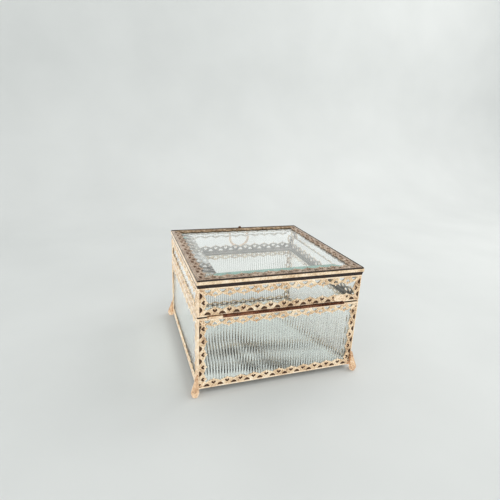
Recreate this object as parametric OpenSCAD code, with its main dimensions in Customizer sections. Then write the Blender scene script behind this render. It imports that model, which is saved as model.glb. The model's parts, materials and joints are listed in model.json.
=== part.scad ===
// Square glass trinket box: lace-trimmed metal frame, fluted glass base on a mirror floor,
// clear glass lid with a bevelled top pane, long tube hinge at the rear, ring pull at the front.
// Millimetres. Z up, origin at the bottom centre under the feet.
// -Y is the rear (hinge) side, +Y is the front (ring pull) side, +X is the right side.

/* [Box] */
// Outer width of the frame, left to right
box_w = 150; // [120:1:200]
// Outer depth of the frame, rear to front
box_d = 150; // [120:1:200]
// Height of the base frame, without the feet
base_h = 67.5; // [50:0.5:90]
// Height of the lid, from the parting line to the top of the rail
lid_h = 32.5; // [32:0.5:50]
// Open line between base and lid
parting_gap = 1.2; // [0.8:0.1:1.4]
// How far the feet lift the frame off the table
foot_lift = 5; // [4:0.5:8]

/* [Lace trim] */
// Thickness of the stamped sheet metal
metal_t = 0.8; // [0.6:0.1:1]
// Length of one heart-and-scallop repeat
lace_pitch = 12.1; // [11:0.1:14]
// Width of the openwork, from the plain bar to the tips of the beads
lace_w = 7.3; // [7.1:0.1:7.8]
// Plain bar beside each upright corner
corner_bar = 1.6; // [1.6:0.1:2.5]
// Plain bar along the bottom of the base
foot_bar = 1.5; // [1.3:0.1:2.5]
// Plain bar along the top of the base
brim_bar = 2.1; // [1.3:0.1:2.5]
// Plain bar along the other edges
edge_bar = 1.4; // [1.2:0.1:2]
// Rounding of the upright corners
corner_r = 1.5; // [1.2:0.1:1.6]

/* [Glass] */
// Thickness of the side panes
pane_t = 3; // [2:0.5:4]
// Spacing of the flutes in the base panes
flute_pitch = 2.5; // [2:0.1:4]
// Depth of the flutes
flute_h = 0.5; // [0.3:0.1:0.8]
// Thickness of the middle of the top pane
top_t = 5; // [4:0.5:6]
// Distance from the top pane's edge to the inner end of its bevel
bevel_w = 20; // [11:0.5:24]
// Thickness of the mirror floor
mirror_t = 3; // [2:0.5:4]

/* [Rail] */
// Height of the plain rail around the lid's top edge
rail_h = 5; // [4.5:0.1:7]
// How far the rail stands out past the lace
rail_proud = 0.8; // [0.6:0.1:1]
// Height of the dark soldered seam under the rail
seam_h = 2; // [1:0.1:2.4]
// Width of the rail's lip over the edge of the top pane
lip_w = 1.6; // [0.8:0.1:2]

/* [Hinge] */
// Radius of the hinge pin
pin_r = 0.6; // [0.5:0.05:0.65]
// Outer radius of the hinge tubes
tube_r = 1.1; // [1:0.05:1.25]
// Length of the long middle tube, which belongs to the base
tube_len = 100; // [60:1:100]
// Length of each short end tube, which belongs to the lid
knuckle_len = 11.6; // [8:0.1:14]
// Middle of the hinge, measured from the middle of the box
hinge_x = -4; // [-4:0.5:4]

/* [Ring pull] */
// Radius of the ring, to the middle of its wire
ring_r = 11.1; // [9:0.1:11.2]
// Radius of the ring's wire
wire_r = 1.3; // [1:0.1:1.4]
// Middle of the ring pull, measured from the middle of the box
ring_x = 5; // [-10:0.5:10]

/* [Hidden] */

// Sides are numbered by quarter turns about Z, from the rear.
rear = 0;
right = 1;
front = 2;
left = 3;

fit = 0.05;                                  // solder film between neighbouring pieces
parting_z = foot_lift + base_h;
base_top = parting_z - parting_gap / 2;
lid_bottom = parting_z + parting_gap / 2;
lid_top = parting_z + lid_h;
rail_bottom = lid_top - rail_h;
lid_side_top = rail_bottom - seam_h;         // top of the lid's side frames
base_side_h = base_top - foot_lift;
lid_side_h = lid_side_top - lid_bottom;

channel_d = 2 * metal_t + pane_t + 2 * fit;  // depth of the folded channel that grips a pane
channel_lip = 2;                             // inner lip of that channel
pane_out = metal_t + fit;                    // from the frame's outer face to a pane
floor_ledge = 12;                            // ledge that carries the mirror
glass_ledge = 6;                             // ledge that carries the top pane
lace_sink = 0.5;                             // top lace and lip sit this far below the rail's top
seam_back = 0.15;                            // seam sits this far behind the lace
mitre_gap = 0.05;

valley_y = 4.1;                              // scallops, measured from the plain bar
scallop_y = 6.1;
bead_r = 0.8;
bead_y = lace_w - bead_r;
heart_w = 3.9;
heart_h = 3.2;
heart_y = 3.4;
gusset_w = 5.5;                              // three-cornered openings between the hearts
gusset_h = 2.4;
gusset_y = 0.2;
scallop_rise = scallop_y - valley_y;
scallop_r = (pow(lace_pitch / 2, 2) + pow(scallop_rise, 2)) / (2 * scallop_rise);
heart_reach = heart_y + heart_h / 2;         // mitre room that a heart needs

bore_r = pin_r + 0.05;
hinge_y = -box_d / 2 - tube_r - 0.1;
solder_h = tube_r + 0.15;                    // solder reaches this far from the parting line
knuckle_gap = 0.3;
pin_end_r = 0.9;

eye_r = 2.3;
eye_w = 3;
eye_pad_h = 4;
eye_bore_r = wire_r + 0.3;
eye_y = box_d / 2 + rail_proud + fit + eye_r;
eye_z = rail_bottom;

bead_ball_r = 1.9;
bead_ball_h = 1.5;

plate_w = 12.8;
plate_h = 7.2;
plate_t = 0.7;
plate_x = 54;
plate_z = parting_z + solder_h + 0.1 + plate_h / 2;
plate_rim = 0.8;
plate_dish = 0.25;

foot_r = 3.6;
foot_top = foot_lift + 14;
foot_out = 1.85;                             // how far the foot leans out at the corner

brass = [0.86, 0.66, 0.46];
dark_brass = [0.25, 0.16, 0.11];
clear_glass = [0.85, 0.93, 0.9, 0.35];
fluted_glass = [0.72, 0.84, 0.8, 0.45];
silver = [0.82, 0.86, 0.87];

function side_len(s) = s % 2 == 0 ? box_w : box_d;
function side_off(s) = s % 2 == 0 ? box_d / 2 : box_w / 2;
function hearts_in(len) = floor((len - 2 * heart_reach - heart_w) / lace_pitch) + 1;
function heart_points(w, h) = [
    for (a = [0:30:330])
        [w / 2 * pow(sin(a), 3), h * (13 * cos(a) - 5 * cos(2 * a) - 2 * cos(3 * a) - cos(4 * a)) / 29]
];
function gusset_points(w, h) = [for (a = [0:22.5:180]) [w / 2 * cos(a), h * pow(abs(sin(a)), 1.6)]];
function flute_points(n) = [
    for (i = [0:n - 1])
        for (k = [0:3])
            [(i + k / 4 - n / 2) * flute_pitch, flute_h * (1 - sin(k * 45))]
];

// Local axes of a side: X along it, Y into the box from the frame's outer face, Z up.
module on_side(s) {
    rotate([0, 0, 90 * s])
        translate([0, -side_off(s), 0])
            children();
}

// Stands a flat outline up on the side's outer face; its Y becomes Z.
module stand_up(t) {
    translate([0, t, 0])
        rotate([90, 0, 0])
            linear_extrude(height = t)
                children();
}

// Flat band of lace. Y = 0 is the folded edge, and the beads point to +Y. The bar stops
// bar_cut short of both ends, and the openwork is mitred from start_cut and end_cut.
module lace_2d(len, bar, bar_cut, start_cut, end_cut) {
    open_len = len - start_cut - end_cut;
    n = hearts_in(open_len);
    a = -len / 2 + start_cut + mitre_gap;
    b = len / 2 - end_cut - mitre_gap;
    bar_end = len / 2 - bar_cut - (bar_cut > 0 ? mitre_gap : 0);
    translate([0, -fit])
        intersection() {
            translate([-bar_end, fit])
                square([2 * bar_end, bar]);
            translate([-len / 2, fit])
                square([len, bar]);
        }
    difference() {
        intersection() {
            polygon([[a, bar - fit], [b, bar - fit], [b, bar], [b - lace_w, bar + lace_w],
                [a + lace_w, bar + lace_w], [a, bar]]);
            union() {
                translate([a, bar - fit])
                    square([b - a, valley_y + fit]);
                for (i = [0:n + 1])
                    translate([(a + b) / 2 + (i - (n + 1) / 2) * lace_pitch, bar])
                        scallop();
            }
        }
        for (i = [0:n - 1])
            translate([(a + b) / 2 + (i - (n - 1) / 2) * lace_pitch, bar + heart_y])
                polygon(heart_points(heart_w, heart_h));
        for (i = [0:n])
            translate([(a + b) / 2 + (i - n / 2) * lace_pitch, bar + gusset_y])
                polygon(gusset_points(gusset_w, gusset_h));
    }
}

module scallop() {
    translate([0, scallop_y - scallop_r])
        circle(r = scallop_r, $fn = 120);
    translate([0, bead_y])
        circle(r = bead_r, $fn = 32);
}

// Plan of a band that is mitred at both ends, between two depths behind the outer face.
module mitred_plan(len, from, to) {
    e = len / 2 - mitre_gap;
    polygon([[-e + from, from], [e - from, from], [e - to, to], [-e + to, to]]);
}

// Folded strip: lace on the outer face, a web over the pane's edge, and an inner lip.
module lace_channel(len, bar, web_d, lip_h) {
    stand_up(metal_t)
        lace_2d(len, bar, corner_bar, corner_bar, corner_bar);
    linear_extrude(height = metal_t) {
        mitred_plan(len, corner_r, web_d);
        translate([-len / 2 + corner_bar + mitre_gap, 0])
            square([len - 2 * corner_bar - 2 * mitre_gap, corner_r + fit]);
    }
    if (lip_h > 0)
        linear_extrude(height = lip_h)
            mitred_plan(len, web_d - metal_t, web_d);
}

// Channel on side s whose folded edge is at height z, opening upwards or downwards.
module side_channel(s, z, up, bar, web_d, lip_h) {
    color(brass)
        on_side(s)
            translate([0, 0, z])
                mirror([0, 0, up ? 0 : 1])
                    lace_channel(side_len(s), bar, web_d, lip_h);
}

module base_top_lace(s) {
    side_channel(s, base_top, false, brim_bar, channel_d, channel_lip);
}

module base_foot_lace(s) {
    side_channel(s, foot_lift, true, foot_bar, floor_ledge, 0);
}

module lid_lower_lace(s) {
    side_channel(s, lid_bottom, true, edge_bar, channel_d, channel_lip);
}

module lid_upper_lace(s) {
    side_channel(s, lid_side_top, false, edge_bar, channel_d, channel_lip);
}

// One wing of a corner trim, in the plane of side s: lace that runs up the corner at the
// side's left (turn = 1) or right (turn = -1) end.
module corner_wing(s, turn, z, h, low_bar, high_bar) {
    on_side(s)
        translate([0, 0, z])
            mirror([turn > 0 ? 0 : 1, 0, 0])
                stand_up(metal_t)
                    translate([-side_len(s) / 2, h / 2])
                        rotate([0, 0, 90])
                            mirror([0, 1, 0])
                                difference() {
                                    lace_2d(h, corner_bar, 0, low_bar, high_bar);
                                    translate([-h, -corner_bar])
                                        square([2 * h, corner_bar + corner_r]);
                                }
}

// Corner trim at the left end of side s: two wings of lace folded about a rounded edge.
module corner_trim(s, z, h, low_bar, high_bar) {
    color(brass) {
        corner_wing(s, 1, z, h, low_bar, high_bar);
        corner_wing((s + 3) % 4, -1, z, h, low_bar, high_bar);
        on_side(s)
            translate([-side_len(s) / 2 + corner_r, corner_r, z])
                linear_extrude(height = h)
                    intersection() {
                        difference() {
                            circle(r = corner_r, $fn = 64);
                            circle(r = corner_r - metal_t, $fn = 64);
                        }
                        translate([-corner_r, -corner_r])
                            square(corner_r);
                    }
    }
}

module base_corner(s) {
    corner_trim(s, foot_lift, base_side_h, foot_bar, brim_bar);
}

module lid_corner(s) {
    corner_trim(s, lid_bottom, lid_side_h, edge_bar, edge_bar);
}

module mirror_floor() {
    inner_w = box_w - 2 * (pane_out + pane_t + 0.2);
    inner_d = box_d - 2 * (pane_out + pane_t + 0.2);
    color(silver)
        translate([-inner_w / 2, -inner_d / 2, foot_lift + metal_t + fit])
            cube([inner_w, inner_d, mirror_t]);
}

// Rear and front panes fit between the left and right panes.
function pane_len(s) = side_len(s) - 2 * (s % 2 == 0 ? pane_out + pane_t + fit : corner_r);

module base_pane(s) {
    n = floor(pane_len(s) / flute_pitch);
    half = pane_len(s) / 2;
    edge = n * flute_pitch / 2;
    color(fluted_glass)
        on_side(s)
            translate([0, pane_out, foot_lift + metal_t + fit])
                linear_extrude(height = base_side_h - 2 * metal_t - 2 * fit)
                    polygon(concat(
                        [[-half, pane_t], [-half, flute_h]], flute_points(n),
                        [[edge, flute_h], [half, flute_h], [half, pane_t]]
                    ));
}

module lid_pane(s) {
    color(clear_glass)
        on_side(s)
            translate([-pane_len(s) / 2, pane_out, lid_bottom + metal_t + fit])
                cube([pane_len(s), pane_t, lid_side_h - 2 * metal_t - 2 * fit]);
}

// Teardrop foot that hugs the outside of the corner at the left end of side s.
module foot(s) {
    color(brass)
        on_side(s)
            difference() {
                translate([-side_len(s) / 2, 0, 0])
                    foot_body();
                translate([-side_len(s) / 2 - fit, -fit, foot_lift - fit])
                    cube([foot_top, foot_top, foot_top]);
            }
}

module foot_body() {
    hull() {
        translate([-foot_out, -foot_out, 0])
            cylinder(r = foot_r - 0.8, h = 1.2, $fn = 32);
        translate([-foot_out, -foot_out, 3.4])
            sphere(r = foot_r, $fn = 32);
        translate([-0.3, -0.3, foot_top - 5])
            sphere(r = 1.6, $fn = 24);
        translate([0, 0, foot_top - 1])
            sphere(r = 1, $fn = 24);
    }
}

module tube(len, x) {
    translate([x, hinge_y, parting_z])
        rotate([0, 90, 0])
            difference() {
                cylinder(r = tube_r, h = len, center = true, $fn = 48);
                cylinder(r = bore_r, h = len + 1, center = true, $fn = 48);
            }
}

// Solder between a hinge tube and the rear lace, above or below the parting line.
module solder(len, x, up) {
    low_z = up ? parting_gap / 2 + fit : -solder_h;
    difference() {
        translate([x - len / 2, hinge_y, parting_z + low_z])
            cube([len, -box_d / 2 - fit - hinge_y, solder_h - parting_gap / 2 - fit]);
        translate([x, hinge_y, parting_z])
            rotate([0, 90, 0])
                cylinder(r = bore_r, h = len + 1, center = true, $fn = 48);
    }
}

module hinge_tube() {
    color(brass) {
        tube(tube_len, hinge_x);
        solder(tube_len, hinge_x, false);
    }
}

module lid_knuckle(turn) {
    x = hinge_x + turn * (tube_len / 2 + knuckle_gap + knuckle_len / 2);
    color(brass) {
        tube(knuckle_len, x);
        solder(knuckle_len, x, true);
    }
}

module hinge_pin() {
    pin_len = tube_len + 2 * (knuckle_gap + knuckle_len + 0.4);
    color(brass)
        translate([hinge_x, hinge_y, parting_z])
            rotate([0, 90, 0]) {
                cylinder(r = pin_r, h = pin_len, center = true, $fn = 48);
                for (end = [-1, 1])
                    rotate([end < 0 ? 180 : 0, 0, 0])
                        translate([0, 0, pin_len / 2 - 0.2])
                            pin_head();
            }
}

// Domed head outside the end of a tube.
module pin_head() {
    intersection() {
        sphere(r = pin_end_r, $fn = 32);
        cylinder(r = pin_end_r + 1, h = pin_end_r + 1);
    }
}

// Plain band round the lid's top edge, with the ledge that carries the top pane and a lip that
// holds the pane down.
module lid_rail(s) {
    len = side_len(s) + 2 * rail_proud;
    color(brass)
        on_side(s)
            translate([0, -rail_proud, rail_bottom]) {
                linear_extrude(height = rail_h)
                    mitred_plan(len, 0, rail_proud);
                linear_extrude(height = metal_t)
                    mitred_plan(len, 0, rail_proud + glass_ledge);
                translate([0, 0, rail_h - lace_sink - metal_t])
                    linear_extrude(height = metal_t)
                        mitred_plan(len, 0, rail_proud + lip_w - fit);
            }
}

// Solder seam between the rail and the side frames.
module lid_seam() {
    color(dark_brass)
        for (s = [rear, right, front, left])
            on_side(s)
                translate([0, 0, lid_side_top + fit])
                    linear_extrude(height = seam_h - 2 * fit)
                        mitred_plan(side_len(s), seam_back, channel_d);
}

module top_lace(s) {
    len = side_len(s) - 2 * lip_w;
    bar_cut = s % 2 == 0 ? 0 : edge_bar;
    color(brass)
        on_side(s)
            translate([0, lip_w, lid_top - lace_sink - metal_t])
                linear_extrude(height = metal_t)
                    lace_2d(len, edge_bar, bar_cut, edge_bar, edge_bar);
}

// Clear top pane: flat above, bevelled below towards a thinner flat edge that rests on the ledge.
module top_glass() {
    top_z = lid_top - lace_sink - metal_t - fit;
    ledge_z = rail_bottom + metal_t + fit;
    half_w = box_w / 2 - 0.1;
    half_d = box_d / 2 - 0.1;
    color(clear_glass)
        intersection() {
            bevel_bar(half_w, half_d, top_z, ledge_z);
            rotate([0, 0, 90])
                bevel_bar(half_d, half_w, top_z, ledge_z);
        }
}

// Long bar with the pane's bevelled section across Y.
module bevel_bar(half_len, half_span, top_z, ledge_z) {
    translate([-half_len, 0, 0])
        rotate([90, 0, 90])
            linear_extrude(height = 2 * half_len)
                polygon([[-half_span, top_z], [-half_span, ledge_z], [-half_span + glass_ledge, ledge_z],
                    [-half_span + bevel_w, top_z - top_t], [half_span - bevel_w, top_z - top_t],
                    [half_span - glass_ledge, ledge_z], [half_span, ledge_z], [half_span, top_z]]);
}

// Plain oval tag with a raised rim, on the rear lace of the lid.
module oval_plate() {
    color(brass)
        translate([plate_x, -box_d / 2 - fit, plate_z])
            rotate([90, 0, 0])
                difference() {
                    linear_extrude(height = plate_t)
                        oval(plate_w, plate_h);
                    translate([0, 0, plate_t - plate_dish])
                        linear_extrude(height = plate_t)
                            oval(plate_w - 2 * plate_rim, plate_h - 2 * plate_rim);
                }
}

module oval(w, h) {
    polygon([for (a = [0:7.5:352.5]) [w / 2 * cos(a), h / 2 * sin(a)]]);
}

module ring_eye() {
    color(brass)
        difference() {
            union() {
                translate([ring_x, eye_y, eye_z])
                    rotate([0, 90, 0])
                        cylinder(r = eye_r, h = eye_w, center = true, $fn = 48);
                translate([ring_x - eye_w / 2, eye_y - eye_r, eye_z])
                    cube([eye_w, eye_r - wire_r, eye_pad_h]);
            }
            translate([ring_x, eye_y, eye_z])
                rotate([0, 90, 0])
                    cylinder(r = eye_bore_r, h = eye_w + 1, center = true, $fn = 48);
        }
}

// Low domed stud on top of the front rail.
module rail_bead() {
    color(brass)
        translate([ring_x, box_d / 2 + rail_proud / 2, lid_top + fit])
            intersection() {
                translate([0, 0, bead_ball_h - bead_ball_r])
                    sphere(r = bead_ball_r, $fn = 48);
                cylinder(r = bead_ball_r + 1, h = bead_ball_h + 1);
            }
}

module ring_pull() {
    color(brass)
        translate([ring_x, eye_y, eye_z - ring_r])
            rotate([90, 0, 0])
                rotate_extrude($fn = 96)
                    translate([ring_r, 0])
                        circle(r = wire_r, $fn = 32);
}

mirror_floor();
base_pane(rear);  // base_pane_rear
base_pane(right);  // base_pane_right
base_pane(front);  // base_pane_front
base_pane(left);  // base_pane_left
base_top_lace(rear);  // base_top_lace_rear
base_top_lace(right);  // base_top_lace_right
base_top_lace(front);  // base_top_lace_front
base_top_lace(left);  // base_top_lace_left
base_foot_lace(rear);  // base_foot_lace_rear
base_foot_lace(right);  // base_foot_lace_right
base_foot_lace(front);  // base_foot_lace_front
base_foot_lace(left);  // base_foot_lace_left
base_corner(rear);  // base_corner_rear_left
base_corner(right);  // base_corner_rear_right
base_corner(front);  // base_corner_front_right
base_corner(left);  // base_corner_front_left
foot(rear);  // foot_rear_left
foot(right);  // foot_rear_right
foot(front);  // foot_front_right
foot(left);  // foot_front_left
hinge_tube();
hinge_pin();
lid_knuckle(-1);  // lid_knuckle_left
lid_knuckle(1);  // lid_knuckle_right
lid_pane(rear);  // lid_pane_rear
lid_pane(right);  // lid_pane_right
lid_pane(front);  // lid_pane_front
lid_pane(left);  // lid_pane_left
lid_lower_lace(rear);  // lid_lower_lace_rear
lid_lower_lace(right);  // lid_lower_lace_right
lid_lower_lace(front);  // lid_lower_lace_front
lid_lower_lace(left);  // lid_lower_lace_left
lid_upper_lace(rear);  // lid_upper_lace_rear
lid_upper_lace(right);  // lid_upper_lace_right
lid_upper_lace(front);  // lid_upper_lace_front
lid_upper_lace(left);  // lid_upper_lace_left
lid_corner(rear);  // lid_corner_rear_left
lid_corner(right);  // lid_corner_rear_right
lid_corner(front);  // lid_corner_front_right
lid_corner(left);  // lid_corner_front_left
lid_seam();
lid_rail(rear);  // lid_rail_rear
lid_rail(right);  // lid_rail_right
lid_rail(front);  // lid_rail_front
lid_rail(left);  // lid_rail_left
top_lace(rear);  // top_lace_rear
top_lace(right);  // top_lace_right
top_lace(front);  // top_lace_front
top_lace(left);  // top_lace_left
top_glass();
oval_plate();
ring_eye();
rail_bead();
ring_pull();
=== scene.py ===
import json
import math

import bmesh
import bpy
from mathutils import Matrix, Vector, noise

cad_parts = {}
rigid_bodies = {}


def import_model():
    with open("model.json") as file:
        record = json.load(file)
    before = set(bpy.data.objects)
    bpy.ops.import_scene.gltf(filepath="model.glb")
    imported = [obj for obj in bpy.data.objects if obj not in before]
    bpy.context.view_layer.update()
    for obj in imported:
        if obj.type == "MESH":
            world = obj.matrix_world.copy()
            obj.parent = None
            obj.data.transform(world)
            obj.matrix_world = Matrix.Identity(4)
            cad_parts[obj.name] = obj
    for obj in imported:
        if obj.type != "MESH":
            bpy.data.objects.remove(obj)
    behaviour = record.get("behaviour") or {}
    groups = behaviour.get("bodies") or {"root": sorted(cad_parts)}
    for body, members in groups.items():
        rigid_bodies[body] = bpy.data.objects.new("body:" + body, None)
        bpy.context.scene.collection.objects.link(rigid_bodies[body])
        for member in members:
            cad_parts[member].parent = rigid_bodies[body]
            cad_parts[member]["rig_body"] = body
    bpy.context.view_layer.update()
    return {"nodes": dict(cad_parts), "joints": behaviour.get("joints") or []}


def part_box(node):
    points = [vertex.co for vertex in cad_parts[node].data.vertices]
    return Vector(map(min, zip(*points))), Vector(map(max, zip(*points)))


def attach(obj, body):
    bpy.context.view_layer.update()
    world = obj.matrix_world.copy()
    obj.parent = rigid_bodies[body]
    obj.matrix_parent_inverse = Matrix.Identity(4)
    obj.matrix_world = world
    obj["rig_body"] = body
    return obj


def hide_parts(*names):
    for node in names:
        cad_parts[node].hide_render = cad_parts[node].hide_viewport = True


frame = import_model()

MM = 0.001
SIDES = ("rear", "right", "front", "left")       # in quarter turns about Z
CORNERS = ("rear_left", "rear_right", "front_right", "front_left")
GAP = 0.05 * MM                 # hairline at a mitre, and film between neighbouring pieces

# Stamped lace, measured from the plain bar at its folded edge.
METAL = 0.8 * MM
PITCH = 12.1 * MM
OPENWORK = 7.3 * MM
CORNER_BAR = 1.6 * MM
FOOT_BAR = 1.5 * MM
BRIM_BAR = 2.1 * MM             # along the base's top edge
EDGE_BAR = 1.4 * MM
CORNER_R = 1.5 * MM
VALLEY = 4.1 * MM
SCALLOP_TOP = 6.1 * MM
SCALLOP_RISE = SCALLOP_TOP - VALLEY
SCALLOP_R = ((PITCH / 2) ** 2 + SCALLOP_RISE ** 2) / (2 * SCALLOP_RISE)
BEAD_R = 0.8 * MM
BEAD_H = 0.55 * MM
BEAD_AT = OPENWORK - BEAD_R
HEART_W = 3.9 * MM
HEART_H = 3.2 * MM
HEART_AT = 3.4 * MM
GUSSET_W = 5.5 * MM             # three-cornered openings between the hearts
GUSSET_H = 2.4 * MM
GUSSET_AT = 0.2 * MM
RIM = 0.12 * MM                 # how far rolled rims stand out past the sheet
TUCK = 0.3 * MM                 # how far a sheet runs in behind its rim
STAMP_EDGE = 0.14 * MM          # rounding of the stamped sheet's edges
RIDGE_W = 0.6 * MM
RIDGE_H = 0.26 * MM
RECESS = 0.2 * MM               # depth of the dark sheet painted as shade behind the openings of shade-backed strips
SHADE_SHEET_THICK = METAL - RECESS - 0.02 * MM
SHADE_SHEET_INSET = 0.5 * MM         # how far the painted shade sheet stays inside the scallops
SHADE_SHEET_EDGE = 0.05 * MM
CHANNEL_LIP = 2.0 * MM

# Places of a lace piece's materials: plain bars, stamped openwork, inside faces and a dark sheet painted as
# shade behind openings.
BAR, OPEN, INSIDE, DARK = range(4)

# Glass.
FLUTE_PITCH = 2.5 * MM
FLUTE_DEPTH = 0.5 * MM
FLUTE_STEPS = 10
ARRIS = 0.35 * MM
BEVEL_FROM = 6.0 * MM
BEVEL_TO = 20.0 * MM
PAINTED_GREEN_FROM = 12.0 * MM          # where the painted green of the rear bevel starts

# Small metalwork.
BORE_R = 0.65 * MM
PIN_R = 0.6 * MM
FOOT_LIFT = 5.0 * MM


def low(node):
    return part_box(node)[0]


def high(node):
    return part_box(node)[1]


def middle(node):
    return (low(node) + high(node)) / 2


def joint_point(name):
    return Vector(next(j["pos_m"] for j in frame["joints"] if j["name"] == name))


HALF = -low("base_corner_rear_left").x
BASE_LOW = low("base_foot_lace_rear").z
BASE_HIGH = high("base_top_lace_rear").z
LID_LOW = low("lid_lower_lace_rear").z
LID_HIGH = high("lid_upper_lace_rear").z
RAIL_LOW = low("lid_rail_rear").z
RAIL_HIGH = high("lid_rail_rear").z
RAIL_PROUD = -low("lid_rail_rear").y - HALF
RAIL_LEDGE = high("lid_rail_rear").y + HALF
CHANNEL_DEPTH = high("base_top_lace_rear").y + HALF
FLOOR_LEDGE = high("base_foot_lace_rear").y + HALF
HINGE = joint_point("lid_hinge")
EYE = joint_point("ring_swing")


# ---------------------------------------------------------------- shapes

class Shape:
    """Vertices and faces gathered from several parts. A face's mark is the number of its material."""

    def __init__(self):
        self.verts = []
        self.faces = []
        self.marks = []

    def loft(self, rings, marks=(0,), around=False, cap_marks=None):
        """Skin over closed rings that all have the same number of points."""
        start = len(self.verts)
        count = len(rings[0])
        for ring in rings:
            self.verts.extend(Vector(p) for p in ring)
        for i in range(len(rings) - (0 if around else 1)):
            a = start + i * count
            b = start + (i + 1) % len(rings) * count
            for k in range(count):
                n = (k + 1) % count
                self.faces.append((a + k, a + n, b + n, b + k))
                self.marks.append(marks[min(i, len(marks) - 1)])
        if around:
            return
        end = start + (len(rings) - 1) * count
        self.faces.append(tuple(reversed(range(start, start + count))))
        self.faces.append(tuple(range(end, end + count)))
        self.marks.extend(cap_marks or (marks[0], marks[-1]))

    def stamp(self, outlines, mark, back_mark, top=0.0, thick=METAL, edge=STAMP_EDGE):
        """Sheet of metal with rounded edges below w = top. Outlines after the first are holes."""
        curve = bpy.data.curves.new("stamp", "CURVE")
        curve.dimensions = "2D"
        curve.fill_mode = "BOTH"
        curve.extrude = thick / 2 - edge
        curve.bevel_depth = edge
        curve.bevel_resolution = 1
        curve.offset = -edge
        for points in outlines:
            spline = curve.splines.new("POLY")
            spline.points.add(len(points) - 1)
            for point, (u, v) in zip(spline.points, points):
                point.co = (u, v, 0, 1)
            spline.use_cyclic_u = True
        holder = bpy.data.objects.new("stamp", curve)
        mesh = bpy.data.meshes.new_from_object(holder)
        start = len(self.verts)
        self.verts.extend(v.co + Vector((0, 0, top - thick / 2)) for v in mesh.vertices)
        for polygon in mesh.polygons:
            self.faces.append(tuple(start + i for i in polygon.vertices))
            self.marks.append(back_mark if polygon.center.z < 0.01 * MM - thick / 2 else mark)
        bpy.data.objects.remove(holder)
        bpy.data.curves.remove(curve)
        bpy.data.meshes.remove(mesh)

    def ridge(self, points, closed):
        """Raised line on the sheet, along points in the plane w = 0."""
        section = ((-0.5, -0.5), (-0.36, 0.5), (0, 1), (0.36, 0.5), (0.5, -0.5))
        rings = []
        for i, normal in enumerate(path_normals(points, closed)):
            u, v = points[i]
            rings.append([(u + normal[0] * a * RIDGE_W, v + normal[1] * a * RIDGE_W, b * RIDGE_H)
                          for a, b in section])
        self.loft(rings, (BAR,), around=closed)

    def dome(self, u, v, radius, height):
        """Bead that stands on the sheet."""
        steps = ((1, -0.3), (1, 0.1), (0.9, 0.5), (0.66, 0.8), (0.34, 0.96), (0.08, 1))
        rings = [[(u + radius * k * math.cos(a), v + radius * k * math.sin(a), height * h)
                  for a in turns(12)] for k, h in steps]
        self.loft(rings, (BAR,))

    def bar(self, profile, end_at, mark=0):
        """Sweeps an outline of (depth, height) along u, to an end that may depend on the depth."""
        self.loft([[(sign * end_at(d), h, -d) for d, h in profile] for sign in (-1, 1)], (mark,))

    def mesh(self, name, materials, sharp=38):
        mesh = bpy.data.meshes.new(name)
        mesh.from_pydata([tuple(v) for v in self.verts], [], self.faces)
        for material in materials:
            mesh.materials.append(material)
        mesh.polygons.foreach_set("material_index", self.marks)
        work = bmesh.new()
        work.from_mesh(mesh)
        bmesh.ops.remove_doubles(work, verts=work.verts, dist=1e-6)
        bmesh.ops.recalc_face_normals(work, faces=work.faces)
        work.to_mesh(mesh)
        work.free()
        mesh.shade_smooth()
        mesh.set_sharp_from_angle(angle=math.radians(sharp))
        return mesh


def turns(count, start=0.0, sweep=2 * math.pi):
    return [start + sweep * i / count for i in range(count)]


def path_normals(points, closed):
    """Unit normal in the plane at each point of a path."""
    found = []
    count = len(points)
    for i in range(count):
        before = points[(i - 1) % count] if closed or i else points[0]
        after = points[(i + 1) % count] if closed or i < count - 1 else points[-1]
        du = after[0] - before[0]
        dv = after[1] - before[1]
        length = math.hypot(du, dv) or 1
        found.append((dv / length, -du / length))
    return found


def grown(points, distance):
    """Closed outline moved outwards; the outline runs anticlockwise."""
    return [(u + n[0] * distance, v + n[1] * distance)
            for (u, v), n in zip(points, path_normals(points, True))]


def rounded(corners, steps=3):
    """Outline from corners of (x, y, radius), each rounded."""
    points = []
    for i, (x, y, radius) in enumerate(corners):
        corner = Vector((x, y))
        before = Vector(corners[i - 1][:2]) - corner
        after = Vector(corners[(i + 1) % len(corners)][:2]) - corner
        reach = min(radius, 0.45 * before.length, 0.45 * after.length)
        a = corner + before.normalized() * reach
        b = corner + after.normalized() * reach
        for k in range(steps + 1):
            t = k / steps
            p = a * (1 - t) ** 2 + corner * 2 * t * (1 - t) + b * t * t
            points.append((p.x, p.y))
    return points


def wobble(x, y, z, amount, scale):
    """Steady small irregularity for hand work."""
    return noise.noise(Vector((x, y, z)) * scale) * amount


# ---------------------------------------------------------------- lace

def lace_span(length, start_cut, end_cut):
    """Ends of the openwork, and how many hearts it has room for."""
    start = -length / 2 + start_cut + GAP
    end = length / 2 - end_cut - GAP
    room = length - start_cut - end_cut - 2 * (HEART_AT + HEART_H / 2) - HEART_W
    return start, end, int(room / PITCH) + 1


def centres(start, end, count):
    return [(start + end) / 2 + (i - (count - 1) / 2) * PITCH for i in range(count)]


def scallop_height(u, tips):
    nearest = min(abs(u - t) for t in tips)
    if nearest > PITCH / 2:
        return VALLEY
    return SCALLOP_TOP - SCALLOP_R + math.sqrt(SCALLOP_R ** 2 - nearest ** 2)


def scallop_line(start, end, tips, lower):
    """Upper edge of the openwork, above the bar, mitred at both ends."""
    count = round((end - start) / (0.42 * MM))
    line = []
    for i in range(count + 1):
        u = start + (end - start) * i / count
        line.append((u, min(scallop_height(u, tips), u - start, end - u) - lower))
    return line


def heart(u, v):
    points = []
    for a in turns(28, math.pi / 28):
        curl = 13 * math.cos(a) - 5 * math.cos(2 * a) - 2 * math.cos(3 * a) - math.cos(4 * a)
        points.append((u - HEART_W / 2 * math.sin(a) ** 3, v + HEART_H * curl / 29))
    return points


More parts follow.
